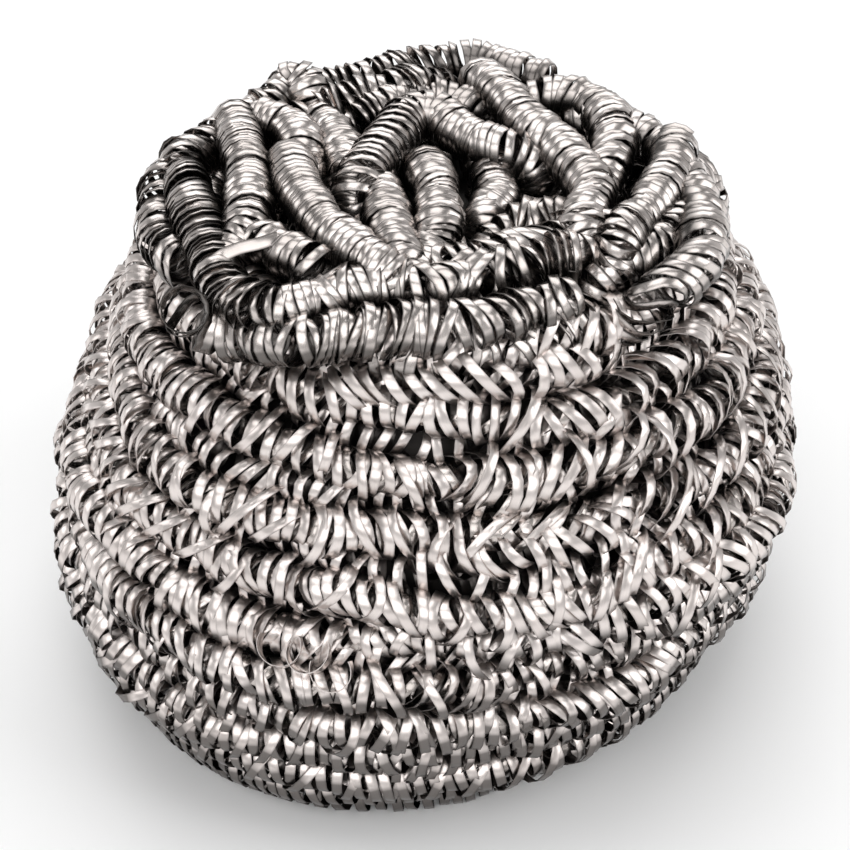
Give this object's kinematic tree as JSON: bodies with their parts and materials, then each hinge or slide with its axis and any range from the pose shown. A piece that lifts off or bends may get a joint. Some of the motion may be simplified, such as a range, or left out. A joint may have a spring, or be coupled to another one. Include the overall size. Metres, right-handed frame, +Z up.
{
  "type": "stainless steel scourer",
  "caption": "Round metal scouring pad wound from a coiled flat steel ribbon, with rows round the sides and folded loops on the crown, for scrubbing pans by hand.",
  "frame": {"origin": "middle of the footprint, on the surface the pad rests on", "axes": "+Z up from the pressed underside to the crown, -Y towards the front of the pad, where the long front roll lies"},
  "size_m": [0.079, 0.0782, 0.0601],
  "materials": {
    "stainless_ribbon": "bright rolled flat wire"
  },
  "bodies": {
    "root": {"coiled_ribbon_pad": "stainless_ribbon"}
  },
  "joints": []
}
